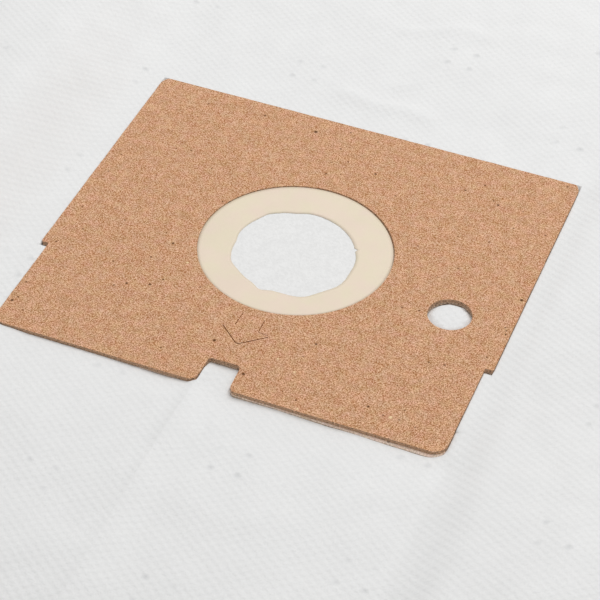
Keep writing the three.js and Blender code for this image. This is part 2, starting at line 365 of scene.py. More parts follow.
def make_speck_group():
    """Sparse round specks: one in some cells of a grid, each of its own size."""
    group, wiring, source, target = new_group(
        "Specks",
        [("Place", VECTOR), ("Spacing", VALUE), ("Radius", VALUE), ("Share", VALUE)],
        [("Mask", VALUE)],
    )
    cells = wiring.add("TexVoronoi", voronoi_dimensions="2D")
    wiring.feed(cells.inputs["Vector"], source["Place"])
    wiring.feed(cells.inputs["Scale"], wiring.math("DIVIDE", 1.0, source["Spacing"]))
    draws = wiring.add("SeparateColor")
    wiring.feed(draws.inputs[0], cells.outputs["Color"])
    chosen = wiring.math("LESS_THAN", draws.outputs[0], source["Share"])
    away = wiring.math("MULTIPLY", cells.outputs["Distance"], source["Spacing"])
    size = wiring.math("MULTIPLY", source["Radius"], wiring.ramp(draws.outputs[1], 0, 1, 0.4, 1.0))
    near = wiring.ramp(wiring.math("DIVIDE", away, size), 0.7, 1.1, 1.0, 0.0)
    wiring.feed(target["Mask"], wiring.math("MULTIPLY", near, chosen))
    return group


def make_board_group():
    """Pulp board: grain, short fibres, soft clouds and shifts of hue about 0.5, and a height."""
    group, wiring, source, target = new_group(
        "Board Pulp",
        [("Place", VECTOR), ("Grain", VALUE)],
        [(name, VALUE) for name in ("Grain", "Fibre", "Cloud", "Redness", "Blueness", "Height")],
    )
    place, grain = source["Place"], source["Grain"]
    fine = wiring.noise(place, grain, detail=0.0)
    fibres = []
    for direction in FIBRE_DIRECTIONS:
        turned = wiring.add("VectorRotate", rotation_type="Z_AXIS")
        wiring.feed(turned.inputs["Vector"], place)
        wiring.feed(turned.inputs["Angle"], direction)
        combed = wiring.vector("MULTIPLY", turned.outputs[0], (FIBRE_SQUEEZE, 1.0, 1.0))
        fibres.append(wiring.noise(combed, grain, detail=1.0, roughness=0.6))
    fibre = wiring.math("MULTIPLY", wiring.math("ADD", *fibres), 0.5)
    cloud_size = wiring.math("MULTIPLY", grain, CLOUD_GRAINS)
    cloud = wiring.noise(place, cloud_size, detail=3.0)
    for shift, output in ((0.7, "Redness"), (1.3, "Blueness")):
        aside = wiring.vector("ADD", place, (shift, 0.0, 0.0))
        wiring.feed(target[output], wiring.noise(aside, cloud_size, detail=5.0, roughness=0.6))
    wiring.feed(target["Grain"], fine)
    wiring.feed(target["Fibre"], fibre)
    wiring.feed(target["Cloud"], cloud)
    wiring.feed(target["Height"], wiring.math("ADD", fine, fibre))
    return group


# Sizes in the nonwoven: patches in which the welds fade, fibres, clouds, and the tufts and
# blotches of its inner side
WELD_PATCH = 0.004
CLOTH_FIBRE = 0.0005
CLOTH_CLOUD = 0.006
TUFT = 0.0007
BLOTCH = 0.0024

# Relief of the nonwoven, as shares of the embossing's height
BUMP_SHARE = 0.38
FIBRE_SHARE = 1.2
WELD_SHARE = 1.1
RIB_SHARE = 0.6

# Radians per metre across the ribs pressed into the welded band, and how softly the band begins
RIB_RATE = 5200.0
SEAM_BLUR = 0.0004


def make_cloth_group():
    """Embossed spunbond: bumps in staggered rows, weld dots in fours, fibres and soft clouds."""
    group, wiring, source, target = new_group(
        "Nonwoven",
        [
            ("Place", VECTOR),
            ("Bump Length", VALUE),
            ("Bump Width", VALUE),
            ("Weld Across", VALUE),
            ("Weld Along", VALUE),
            ("Weld Square", VALUE),
            ("Weld Radius", VALUE),
        ],
        [("Bumps", VALUE), ("Welds", VALUE), ("Fibre", VALUE), ("Cloud", VALUE)],
    )
    place = source["Place"]
    axes = wiring.add("SeparateXYZ")
    wiring.feed(axes.inputs[0], place)
    x, y = axes.outputs["X"], axes.outputs["Y"]

    def wave(along, spacing):
        turns = wiring.math("MULTIPLY", wiring.math("DIVIDE", along, spacing), math.tau)
        return wiring.math("COSINE", turns)

    bumps = wiring.math("MULTIPLY", wave(x, source["Bump Length"]), wave(y, source["Bump Width"]))
    wiring.feed(target["Bumps"], bumps)

    def from_nearest(along, shift, spacing):
        """Distance to the nearest of the even lines at shift plus whole spacings."""
        line = wiring.math("ADD", along, shift)
        half = wiring.math("MULTIPLY", spacing, 0.5)
        wrapped = wiring.math("WRAP", line, half, wiring.math("MULTIPLY", half, -1.0))
        return wiring.math("ABSOLUTE", wrapped)

    def dots(shift_x, shift_y):
        """The four dots round each point of one of the two plain grids."""
        wide = wiring.math("MULTIPLY", source["Weld Across"], 2.0)
        half_square = wiring.math("MULTIPLY", source["Weld Square"], 0.5)
        across = wiring.math("SUBTRACT", from_nearest(x, shift_x, wide), half_square)
        along = wiring.math(
            "SUBTRACT", from_nearest(y, shift_y, source["Weld Along"]), half_square
        )
        away = wiring.math(
            "SQRT",
            wiring.math("ADD", wiring.math("POWER", across, 2.0), wiring.math("POWER", along, 2.0)),
        )
        return wiring.ramp(wiring.math("DIVIDE", away, source["Weld Radius"]), 0.3, 1.4, 1.0, 0.0)

    # The middle of one group, and of the next across, which is half a spacing further along
    first = dots(-WELD_GROUP[0], -WELD_GROUP[1])
    shift_x = wiring.math("SUBTRACT", -WELD_GROUP[0], source["Weld Across"])
    shift_y = wiring.math(
        "SUBTRACT", -WELD_GROUP[1], wiring.math("MULTIPLY", source["Weld Along"], 0.5)
    )
    second = dots(shift_x, shift_y)
    faint = wiring.noise(place, WELD_PATCH, detail=1.0)
    strength = wiring.ramp(faint, 0.35, 0.6, 0.15, 1.0)
    welds = wiring.math("MULTIPLY", wiring.math("ADD", first, second), strength)
    wiring.feed(target["Welds"], welds)
    wiring.feed(target["Fibre"], wiring.noise(place, CLOTH_FIBRE, detail=4.0, roughness=0.65))
    wiring.feed(target["Cloud"], wiring.noise(place, CLOTH_CLOUD, detail=3.0))
    return group


def new_material(name, roughness, specular=0.5):
    """A material with its wiring, its Principled shader and Object coordinates."""
    material = bpy.data.materials.new(name)
    material.use_nodes = True
    wiring = Wiring(material.node_tree)
    shader = material.node_tree.nodes["Principled BSDF"]
    shader.inputs["Roughness"].default_value = roughness
    shader.inputs["Specular IOR Level"].default_value = specular
    place = wiring.add("TexCoord").outputs["Object"]
    return material, wiring, shader, place


def raise_bumps(wiring, shader, height, distance):
    """Raises the surface by a distance in metres where the height is 1."""
    bump = wiring.add("Bump")
    wiring.feed(bump.inputs["Strength"], 1.0)
    wiring.feed(bump.inputs["Distance"], distance)
    wiring.feed(bump.inputs["Height"], height)
    wiring.feed(shader.inputs["Normal"], bump.outputs["Normal"])


def solid(rgb):
    return (*rgb, 1.0)


def shade(rgb, factor):
    return (rgb[0] * factor, rgb[1] * factor, rgb[2] * factor, 1.0)


def cloth_material(group, cloth):
    """The outer side, embossed and welded in dots, with a pressed band along the bag's edge."""
    material, wiring, shader, place = new_material("white_nonwoven", 0.82, specular=0.25)
    weave = place_group(
        wiring,
        group,
        Place=place,
        Bump_Length=cloth.bump_length,
        Bump_Width=cloth.bump_width,
        Weld_Across=cloth.weld_across,
        Weld_Along=cloth.weld_along,
        Weld_Square=cloth.weld_square,
        Weld_Radius=cloth.weld_radius,
    )
    clouds = wiring.ramp(weave["Cloud"], 0.3, 0.7)
    base = wiring.mix(clouds, shade(cloth.white, 0.985), shade(cloth.white, 1.01))
    fibres = wiring.ramp(weave["Fibre"], 0.35, 0.65)
    base = wiring.mix(fibres, base, wiring.mix(1.0, base, (0.96, 0.96, 0.96, 1.0), "MULTIPLY"))
    greyed = wiring.math("MULTIPLY", weave["Welds"], 0.3)
    base = wiring.mix(greyed, base, solid(cloth.weld_grey))

    axes = wiring.add("SeparateXYZ")
    wiring.feed(axes.inputs[0], place)
    from_side = wiring.math("SUBTRACT", PANEL_HIGH.x, wiring.math("ABSOLUTE", axes.outputs["X"]))
    from_end = wiring.math("SUBTRACT", PANEL_HIGH.y, wiring.math("ABSOLUTE", axes.outputs["Y"]))
    inward = wiring.math("MINIMUM", from_side, from_end)
    pressed = wiring.ramp(inward, cloth.seam - SEAM_BLUR, cloth.seam + SEAM_BLUR, 1.0, 0.0)
    base = wiring.mix(wiring.math("MULTIPLY", pressed, 0.35), base, shade(cloth.white, 0.8))
    wiring.feed(shader.inputs["Base Color"], base)

    height = wiring.math("MULTIPLY", weave["Bumps"], BUMP_SHARE)
    height = wiring.math("ADD", height, wiring.math("MULTIPLY", weave["Fibre"], FIBRE_SHARE))
    height = wiring.math("SUBTRACT", height, wiring.math("MULTIPLY", weave["Welds"], WELD_SHARE))
    ribs = wiring.math("SINE", wiring.math("MULTIPLY", inward, RIB_RATE))
    ribs = wiring.math("MULTIPLY", ribs, RIB_SHARE)
    kept = wiring.math("MULTIPLY", height, wiring.math("SUBTRACT", 1.0, pressed))
    height = wiring.math("ADD", kept, wiring.math("MULTIPLY", ribs, pressed))
    raise_bumps(wiring, shader, height, cloth.bump_height)
    return material


def inner_material(cloth):
    """The inner side, which shows through the inlet: loose fibres without the embossing."""
    material, wiring, shader, place = new_material("inner_nonwoven", 0.9, specular=0.2)
    tufts = wiring.noise(place, TUFT, detail=2.0, roughness=0.6)
    blotches = wiring.noise(place, BLOTCH, detail=2.0)
    both = wiring.math("ADD", tufts, wiring.math("MULTIPLY", blotches, 0.5))
    tone = wiring.ramp(both, 0.6, 0.9)
    base = wiring.mix(tone, shade(cloth.inner_white, 0.955), shade(cloth.inner_white, 1.02))
    wiring.feed(shader.inputs["Base Color"], base)
    raise_bumps(wiring, shader, both, cloth.bump_height)
    return material


def make_spot_group():
    """One round spot at a given place."""
    group, wiring, source, target = new_group(
        "Spot", [("Place", VECTOR), ("Centre", VECTOR), ("Radius", VALUE)], [("Mask", VALUE)]
    )
    apart = wiring.add("VectorMath", operation="DISTANCE")
    wiring.feed(apart.inputs[0], wiring.vector("MULTIPLY", source["Place"], (1.0, 1.0, 0.0)))
    wiring.feed(apart.inputs[1], source["Centre"])
    away = wiring.math("DIVIDE", apart.outputs["Value"], source["Radius"])
    wiring.feed(target["Mask"], wiring.ramp(away, 0.6, 1.4, 1.0, 0.0))
    return group


def board_face_material(name, shared, deep, pale):
    """Uncoated board: dark and pale grains, fibres, soft clouds, shifts of hue and specks."""
    material, wiring, shader, place = new_material(name, 0.92, specular=0.2)
    level = wiring.vector("MULTIPLY", place, (1.0, 1.0, 0.0))
    level = wiring.vector("ADD", level, (0.0, 0.0, FACE_LEVEL))
    board = place_group(wiring, shared["pulp"], Place=level, Grain=FACE_GRAIN)
    tone = wiring.math("ADD", board["Grain"], wiring.math("MULTIPLY", board["Fibre"], 0.5))
    tone = wiring.math("ADD", tone, wiring.math("MULTIPLY", board["Cloud"], 0.2))
    base = wiring.mix(wiring.ramp(tone, 0.6, 1.12), solid(deep), solid(pale))
    for hue, low, high in (
        ("Redness", (0.97, 1.025, 1.0, 1.0), (1.03, 0.975, 1.0, 1.0)),
        ("Blueness", (1.0, 1.0, 0.93, 1.0), (1.0, 1.0, 1.07, 1.0)),
    ):
        tint = wiring.mix(wiring.ramp(board[hue], 0.35, 0.65), low, high)
        base = wiring.mix(1.0, base, tint, "MULTIPLY")
    for (spacing, radius, chance, strength), speck in (
        (PALE_DUST, shade(pale, 1.1)),
        (DARK_DUST, shade(deep, 0.4)),
    ):
        specks = place_group(
            wiring, shared["specks"], Place=place, Spacing=spacing, Radius=radius, Share=chance
        )
        base = wiring.mix(wiring.math("MULTIPLY", specks["Mask"], strength), base, speck)
    for places, strength, speck in (
        (DARK_SPECKS, 0.95, shade(deep, 0.3)),
        (PALE_SPECKS, 0.8, solid(PALE_FIBRE)),
    ):
        for x, y, radius in places:
            centre = (INLET.x + x, INLET.y + y, 0.0)
            spot = place_group(wiring, shared["spot"], Place=place, Centre=centre, Radius=radius)
            base = wiring.mix(wiring.math("MULTIPLY", spot["Mask"], strength), base, speck)
    wiring.feed(shader.inputs["Base Color"], base)
    raise_bumps(wiring, shader, board["Height"], FACE_BUMP)
    return material


def board_edge_material(name, shared, tone):
    """A cut edge: the same pulp, with the layers it was pressed from."""
    material, wiring, shader, place = new_material(name, 0.95, specular=0.05)
    flattened = wiring.vector("MULTIPLY", place, (1.0, 1.0, 3.0))
    board = place_group(wiring, shared["pulp"], Place=flattened, Grain=EDGE_GRAIN)
    grain = wiring.ramp(board["Grain"], 0.3, 0.7)
    base = wiring.mix(grain, shade(tone, 0.4), shade(tone, 1.6))
    wiring.feed(shader.inputs["Base Color"], base)
    raise_bumps(wiring, shader, board["Height"], EDGE_BUMP)
    return material


# The scored grooves' walls: the board's grain in a dark brown that paints in the shade inside the
# narrow grooves.
def score_material(shared, collar):
    material, wiring, shader, place = new_material("scored_line_with_painted_shade", 0.95, specular=0.05)
    board = place_group(wiring, shared["pulp"], Place=place, Grain=SCORE_GRAIN)
    grain = wiring.ramp(board["Grain"], 0.3, 0.7)
    base = wiring.mix(grain, shade(collar.score_with_painted_shade, 0.6), shade(collar.score_with_painted_shade, 1.6))
    wiring.feed(shader.inputs["Base Color"], base)
    return material


# Sizes of the membrane's clouds, of its shifts of hue and of its fine relief
FILM_CLOUD = 0.007
FILM_HUE = 0.005
FILM_GRAIN = 0.0008


def film_material(film):
    material, wiring, shader, place = new_material("cream_membrane", 0.5, specular=0.35)
    clouds = wiring.noise(place, FILM_CLOUD, detail=3.0)
    dim, bright = shade(film.cream, 0.985), shade(film.cream, 1.01)
    base = wiring.mix(wiring.ramp(clouds, 0.35, 0.65), dim, bright)
    hues = wiring.noise(wiring.vector("ADD", place, (0.4, 0.0, 0.0)), FILM_HUE, detail=2.0)
    pink, green = (1.01, 0.985, 1.01, 1.0), (0.99, 1.015, 0.975, 1.0)
    tint = wiring.mix(wiring.ramp(hues, 0.35, 0.65), pink, green)
    base = wiring.mix(1.0, base, tint, "MULTIPLY")
    wiring.feed(shader.inputs["Base Color"], base)
    fine = wiring.noise(place, FILM_GRAIN, detail=2.0)
    raise_bumps(wiring, shader, wiring.math("ADD", clouds, fine), FILM_BUMP)
    return material


# Meshes

def new_piece(name, bm, materials):
    """A finished bmesh as an object at the origin."""
    mesh = bpy.data.meshes.new(name)
    bm.to_mesh(mesh)
    bm.free()
    for material in materials:
        mesh.materials.append(material)
    piece = bpy.data.objects.new(name, mesh)
    bpy.context.scene.collection.objects.link(piece)
    return piece


def settle(piece):
    """Turns what the modifiers make into the piece's own mesh."""
    graph = bpy.context.evaluated_depsgraph_get()
    mesh = bpy.data.meshes.new_from_object(piece.evaluated_get(graph), depsgraph=graph)
    piece.modifiers.clear()
    piece.data = mesh
    mesh.name = piece.name


def thicken(piece, thickness, underside=0):
    """Gives a sheet its thickness below the surface that was modelled."""
    wall = piece.modifiers.new("thickness", "SOLIDIFY")
    wall.thickness = thickness
    wall.offset = -1.0
    wall.use_rim = True
    wall.material_offset = underside
    wall.material_offset_rim = underside
    settle(piece)
    piece.data.shade_smooth()


def grid_lines(stops, cell):
    """Places from the first stop to the last, through every stop, no further apart than a cell."""
    places = [stops[0]]
    for start, end in zip(stops, stops[1:]):
        parts = math.ceil((end - start) / cell)
        places += [start + (end - start) * part / parts for part in range(1, parts + 1)]
    return places


def sheet_grid(cell, across=(), along=()):
    """A flat grid over the bag's plan, with lines at the given places across and along it."""
    xs = grid_lines(sorted([PANEL_LOW.x, *across, PANEL_HIGH.x]), cell)
    ys = grid_lines(sorted([PANEL_LOW.y, *along, PANEL_HIGH.y]), cell)
    bm = bmesh.new()
    columns, rows = len(xs) - 1, len(ys) - 1
    bmesh.ops.create_grid(bm, x_segments=columns, y_segments=rows, size=0.5)
    for vert in bm.verts:
        column = round((vert.co.x + 0.5) * columns)
        row = round((vert.co.y + 0.5) * rows)
        vert.co.xy = (xs[column], ys[row])
    return bm


def from_rim(x, y):
    """Distance inwards from the nearest side and from the nearest end of the bag."""
    return PANEL_HIGH.x - abs(x), PANEL_HIGH.y - abs(y)


# The right swell is another in front of the collar: where it changes, measured forwards from
# the front crease, and how far its start moves in towards the collar
FORWARD_START, FORWARD_END = -0.03, 0.035
FORWARD_SHIFT = 0.0025


def stand_off(x, y, cloth):
    """How far the front panel stands off the back one."""
    from_side, from_end = from_rim(x, y)
    behind = y - CARD_HIGH.y - cloth.crease
    in_front = CARD_LOW.y - cloth.crease - y
    forward = smoothstep(in_front, FORWARD_START, FORWARD_END)
    past = max(x - CARD_HIGH.x, 0.0)
    outward = min(past / cloth.right_run, 1.0)
    right = cloth.right_swell * outward * outward * (3.0 - 2.0 * outward)
    shoulder = cloth.right_shoulder + (cloth.front_shoulder - cloth.right_shoulder) * forward
    run = cloth.shoulder_run + (cloth.front_shoulder_run - cloth.shoulder_run) * forward
    start = CARD_HIGH.x - FORWARD_SHIFT * forward
    right += shoulder * smoothstep(x, start, start + run)
    beside = CARD_HIGH.x + cloth.crease
    left = cloth.left_swell * smoothstep(-x - beside, 0.0, cloth.left_run)
    end = cloth.back_swell * smoothstep(behind, 0.0, cloth.back_run)
    forwards = min(max(in_front / cloth.front_run, 0.0), 1.0)
    end += cloth.front_swell * forwards * (2.0 - forwards)
    swell = cloth.gap + math.hypot(left + right, end)
    swell *= smoothstep(from_side - cloth.seam, 0.0, cloth.side_fall)
    return swell * smoothstep(from_end - cloth.seam, 0.0, cloth.end_fall)


def rounded(first, second, radius):
    """Distance outside two sides that meet in a rounded corner, from the distances to both."""
    first, second = first + radius, second + radius
    return math.hypot(max(first, 0.0), max(second, 0.0)) + min(max(first, second), 0.0) - radius


def outside_card(x, y, collar):
    """Distance outside the card's outline with its steps and notch, negative inside."""
    step = CARD_LOW.y + collar.step_from_front
    beside = abs(x) - CARD_HIGH.x + collar.edge_trim + (collar.step_inset if y < step else 0.0)
    in_front = CARD_LOW.y - y
    in_notch = min(collar.notch_top / 2.0 - abs(x), collar.notch_depth + in_front)
    corner = rounded(beside, in_front, collar.front_radius)
    mouth = rounded(in_notch, in_front, collar.notch_mouth_radius)
    return max(corner, mouth, y - CARD_HIGH.y)


# How high the loose cloth stands up against the card's front edge: place across and height
FRONT_PUFFS = [
    (-0.0560, 0.0016),
    (-0.0490, 0.0012),
    (-0.0430, 0.0009),
    (-0.0295, 0.0009),
    (-0.0200, 0.0008),
    (-0.0115, 0.0006),
    (-0.0060, 0.0008),
    (-0.0044, 0.0012),
    (-0.0035, 0.0016),
    (0.0030, 0.0002),
    (0.0095, 0.0004),
    (0.0165, 0.0005),
    (0.0255, 0.0004),
    (0.0350, 0.0006),
    (0.0415, 0.0005),
    (0.0465, 0.0005),
    (0.0535, 0.0007),
    (0.0570, 0.0013),
]


def front_puff(x):
    for (left, left_height), (right, right_height) in zip(FRONT_PUFFS, FRONT_PUFFS[1:]):
        if x < right:
            return left_height + (right_height - left_height) * smoothstep(x, left, right)
    return FRONT_PUFFS[-1][1]


# Distances in which the loose cloth passes from one height to the next: round the card's back
# right corner, along the notch's left side, across its middle, at its mouth and round the front
# corners
TO_RIGHT, TO_BACK = 0.01, 0.008
NOTCH_FADE = 0.0035
NOTCH_MIDDLE = 0.001
MOUTH_START, MOUTH_END = -0.003, 0.001
CORNER_REACH = 0.004

# The loose cloth sinks to this share of its height between these distances from the card
SETTLED_SHARE = 0.5
SETTLE_START, SETTLE_END = 0.005, 0.05

# Share of the locating hole's radius inside which the cloth stands up in full
HOLE_CROWN = 0.8


def side_puff(x, y, cloth):
    """Height of the loose cloth beside and behind the card."""
    at_right = smoothstep(x, CARD_HIGH.x - TO_RIGHT, CARD_HIGH.x)
    at_right *= 1.0 - smoothstep(y, CARD_HIGH.y - TO_BACK, CARD_HIGH.y)
    return cloth.side_puff + (cloth.right_puff - cloth.side_puff) * at_right


def notch_puff(x, inwards, cloth, collar):
    """Height of the loose cloth in the key notch, which rises to the notch's left side."""
    half_notch = collar.notch_top / 2.0
    to_left = smoothstep(-x, NOTCH_MIDDLE, half_notch)
    to_left *= 1.0 - smoothstep(inwards, collar.notch_depth - NOTCH_FADE, collar.notch_depth)
    return cloth.notch_puff + (front_puff(-half_notch) - cloth.notch_puff) * to_left


def puff(x, y, cloth, collar):
    """How far the loose cloth stands up against the card's edge and in its small holes."""
    from_pin = (Vector((x, y)) - pin_place(collar)).length / collar.pin_radius
    if from_pin < 1.0:
        return cloth.hole_puff * (1.0 - smoothstep(from_pin, HOLE_CROWN, 1.0))
    away = outside_card(x, y, collar)
    if away <= 0.0:
        return 0.0
    inwards = y - CARD_LOW.y
    beside_height = side_puff(x, y, cloth)
    height = beside_height
    if inwards <= collar.notch_depth:
        height = front_puff(x)
        half_notch = collar.notch_top / 2.0
        in_notch = notch_puff(x, inwards, cloth, collar)
        near_notch = 1.0 - smoothstep(abs(x), half_notch, half_notch + collar.notch_mouth_radius)
        height += (in_notch - height) * near_notch * smoothstep(inwards, MOUTH_START, MOUTH_END)
        side = CARD_HIGH.x - collar.step_inset
        half_corner = collar.front_radius / 2.0
        beside = smoothstep(abs(x), side - half_corner, side + half_corner)
        past_front = smoothstep(inwards, -CORNER_REACH, CORNER_REACH)
        height += (beside_height - height) * beside * past_front
    settling = 1.0 - (1.0 - SETTLED_SHARE) * smoothstep(away, SETTLE_START, SETTLE_END)
    return height * settling * smoothstep(away, 0.0, cloth.puff_run)


# Distance from the card or the seam in which the front panel comes free
LOOSE_RUN = 0.012


def looseness(x, y, cloth):
    """0 where the front panel is glued or welded down, rising to 1 where it is free."""
    from_side, from_end = from_rim(x, y)
    outside = max(abs(x) - CARD_HIGH.x, y - CARD_HIGH.y, CARD_LOW.y - y)
    from_seam = min(from_side, from_end) - cloth.seam
    return smoothstep(outside, 0.0, LOOSE_RUN) * smoothstep(from_seam, 0.0, LOOSE_RUN)


# Soft wrinkles in the front panel: the points along each, its half-width and its height
WRINKLES = [
    ([(-0.004, 0.080), (0.010, 0.0865), (0.018, 0.085)], 0.0021, 0.00055),
    ([(0.0015, 0.058), (0.008, 0.0655), (0.0115, 0.0765)], 0.0021, 0.00055),
    ([(-0.011, 0.0505), (-0.002, 0.0487), (0.006, 0.050), (0.0125, 0.0483)], 0.0018, 0.0006),
    ([(0.045, 0.049), (0.0425, 0.0415)], 0.0016, 0.0005),
    ([(-0.0105, -0.0685), (-0.0045, -0.0625)], 0.0012, 0.00045),
    ([(-0.013, -0.067), (-0.0085, -0.0635)], 0.001, 0.0003),
    ([(0.006, -0.071), (0.0035, -0.0645)], 0.0014, 0.0003),
]


# Half-widths past which a wrinkle isn't felt, and the distance from the card in which it starts
WRINKLE_REACH = 3.0
WRINKLE_START = 0.003


def wrinkle_height(x, y):
    total = 0.0
    spot = Vector((x, y))
    for points, half_width, height in WRINKLES:
        route = [Vector(point) for point in points]
        away = math.inf
        for start, end in zip(route, route[1:]):
            along = (spot - start).dot(end - start) / (end - start).length_squared
            nearest = start.lerp(end, min(max(along, 0.0), 1.0))
            away = min(away, (spot - nearest).length / half_width)
        if away < WRINKLE_REACH:
            total += height * math.exp(-away * away)
    return total


# Sizes of the front panel's crumple, coarse to fine: length of a fold and its height
CRUMPLES = [(0.028, 0.0006), (0.011, 0.00035), (0.0048, 0.00011)]


def cloth_relief(x, y, cloth):
    """The crumple of handled nonwoven, on top of the swell."""
    loose = looseness(x, y, cloth)
    if loose == 0.0:
        return 0.0
    total = 0.0
    for layer, (span, height) in enumerate(CRUMPLES):
        total += height * noise.noise(Vector((x, y, 0.0)) / span + Vector((0.0, 0.0, layer * 11.0)))
    return loose * total


# Puckers along the weld: spacing, height, and the distances in which they rise and fade
PUCKER_SPAN = 0.011
PUCKER_HEIGHT = 0.0011
PUCKER_RISE = 0.008
PUCKER_FADE = 0.016

# Curl of the bag's edge: spacing of its waves, height and width
CURL_SPAN = 0.045
CURL_HEIGHT = 0.0016
CURL_WIDTH = 0.02


def seam_pucker(x, y, cloth):
    """Short folds that run in from the weld."""
    from_side, from_end = from_rim(x, y)
    along = y if from_side < from_end else x
    inward = min(from_side, from_end) - cloth.seam
    if inward <= 0.0:
        return 0.0
    fold = PUCKER_HEIGHT * noise.noise(Vector((along / PUCKER_SPAN, 0.0, 2.0)))
    return fold * smoothstep(inward, 0.0, PUCKER_RISE) * math.exp(-inward / PUCKER_FADE)


def rim_lift(x, y):
    """How far the edge of the bag curls off what it lies on. Both panels follow it."""
    from_side, from_end = from_rim(x, y)
    along = y if from_side < from_end else x
    wave = 0.5 + 0.5 * noise.noise(Vector((along / CURL_SPAN, 0.0, 5.0)))
    return CURL_HEIGHT * wave * (1.0 - smoothstep(min(from_side, from_end), 0.0, CURL_WIDTH))


# Folds never press the front panel below this share of its distance from the back one
FOLD_FLOOR = 0.3


def front_height(x, y, cloth, collar):
    """Height of the front panel's upper face."""
    seat = BACKING_LOW.z
    seam_top = 2.0 * cloth.thickness
    off = stand_off(x, y, cloth)
    at_collar = seat - cloth.gap - seam_top
    settled = seam_top + off + at_collar * smoothstep(off, 0.0, cloth.gap)
    folds = cloth_relief(x, y, cloth) + seam_pucker(x, y, cloth)
    lowest = seam_top + FOLD_FLOOR * off
    loose = puff(x, y, cloth, collar) * smoothstep(off, 0.0, cloth.gap)
    away = outside_card(x, y, collar)
    if away > 0.0:
        loose += wrinkle_height(x, y) * smoothstep(away, 0.0, WRINKLE_START)
    return max(settled + folds + loose, lowest) + rim_lift(x, y)


def pin_place(collar):
    """Middle of the locating hole."""
    x = CARD_HIGH.x - collar.pin_from_side + collar.punch_slip
    return Vector((x, INLET.y - collar.pin_before_inlet))


def front_panel_lines(cloth, collar):
    """Where the front panel's mesh needs lines, across the bag and along it."""
    run = cloth.puff_run
    wide = CARD_HIGH.x - collar.edge_trim
    narrow = wide - collar.step_inset
    notch_side = collar.notch_top / 2.0
    lobe = notch_side + collar.notch_mouth_radius
    front, back = CARD_LOW.y, CARD_HIGH.y
    notch_end = front + collar.notch_depth
    one_side = [lobe, PANEL_HIGH.x - cloth.seam]
    along = [front + run, front + collar.notch_mouth_radius]
    along += [PANEL_LOW.y + cloth.seam, PANEL_HIGH.y - cloth.seam]
    for off in (0.0, run, 3.0 * run):
        one_side += [wide + off, narrow + off, notch_side - off]
        along += [front - off, back + off, notch_end - off]
    for part in (0.2, 0.4, 0.6, 0.8, 1.0):
        one_side.append(narrow - part * collar.front_radius)
        along.append(front + part * collar.front_radius)
    across = one_side + [-place for place in one_side]
    pin = pin_place(collar)
    for part in (-1.0, -0.8, -0.7, -0.55, 0.55, 0.7, 0.8, 1.0):
        across.append(pin.x + part * collar.pin_radius)
        along.append(pin.y + part * collar.pin_radius)
    return across, along


# How much wider the front panel is cut open than the card's inlet
HOLE_MARGIN = 0.0008


def build_front_panel(cloth, collar, material):
    bm = sheet_grid(cloth.cell, *front_panel_lines(cloth, collar))
    hole = collar.inlet_radius + HOLE_MARGIN
    inside = [f for f in bm.faces if (f.calc_center_median() - INLET).xy.length < hole]
    bmesh.ops.delete(bm, geom=inside, context="FACES")
    for vert in bm.verts:
        offset = (vert.co - INLET).xy
        if vert.is_boundary and offset.length < hole + 2.0 * cloth.cell:
            vert.co.xy = INLET.xy + offset.normalized() * hole
    for vert in bm.verts:
        vert.co.z = front_height(vert.co.x, vert.co.y, cloth, collar)
    piece = new_piece("front_panel_cloth", bm, [material])
    thicken(piece, cloth.thickness)
    return piece


# Distances from the inlet's middle at which the back panel's bulge begins to fall and ends
BULGE_CROWN, BULGE_FOOT = 0.0165, 0.026


def build_back_panel(cloth, inner, outer):
    """The back panel, whose inner side is uppermost and shows through the inlet."""
    bm = sheet_grid(cloth.back_cell)
    for vert in bm.verts:
        from_inlet = (vert.co - INLET).xy.length
        bulge = cloth.inlet_bulge * (1.0 - smoothstep(from_inlet, BULGE_CROWN, BULGE_FOOT))
        vert.co.z = cloth.thickness + bulge + rim_lift(vert.co.x, vert.co.y)
    piece = new_piece("back_panel_cloth", bm, [inner, outer])
    thicken(piece, cloth.thickness, underside=1)
    return piece


def round_corners(bm, verts, radius):
    bmesh.ops.bevel(
        bm,
        geom=verts,
        offset=radius,
        offset_type="OFFSET",
        segments=8,
        profile=0.5,
        affect="VERTICES",
        clamp_overlap=True,
        material=-1,
    )


def ply_corners(collar, peek):
    """The corners of a ply with their radii, counter-clockwise from the front left."""
    side, front, back = CARD_HIGH.x - collar.edge_trim, CARD_LOW.y, CARD_HIGH.y
    front_side = side - collar.step_inset
    step = front + collar.step_from_front
    notch_end = front + collar.notch_depth
    mouth, top = collar.notch_mouth / 2.0, collar.notch_top / 2.0
    clip_x, clip_y = side - collar.back_clip_across, back - collar.back_clip_along
    return [
        (-front_side, front, collar.front_radius),
        (-mouth, front, collar.notch_mouth_radius),
        (-top, notch_end, collar.notch_top_radius),
        (top, notch_end, collar.notch_top_radius),
        (mouth, front, collar.notch_mouth_radius),
        (front_side, front - peek, collar.backing_radius if peek else collar.front_radius),
        (front_side, step, collar.step_radius),
        (side, step, collar.step_radius),
        (side, clip_y, collar.back_radius),
        (clip_x, back, collar.back_radius),
        (-clip_x, back, collar.back_radius),
        (-side, clip_y, collar.back_radius),
        (-side, step, collar.step_radius),
        (-front_side, step, collar.step_radius),
    ]


# Points along a die-cut edge are no further apart than this, and it wanders in waves this long
EDGE_STEP = 0.0008
WANDER_SPANS = (0.0021, 0.009)


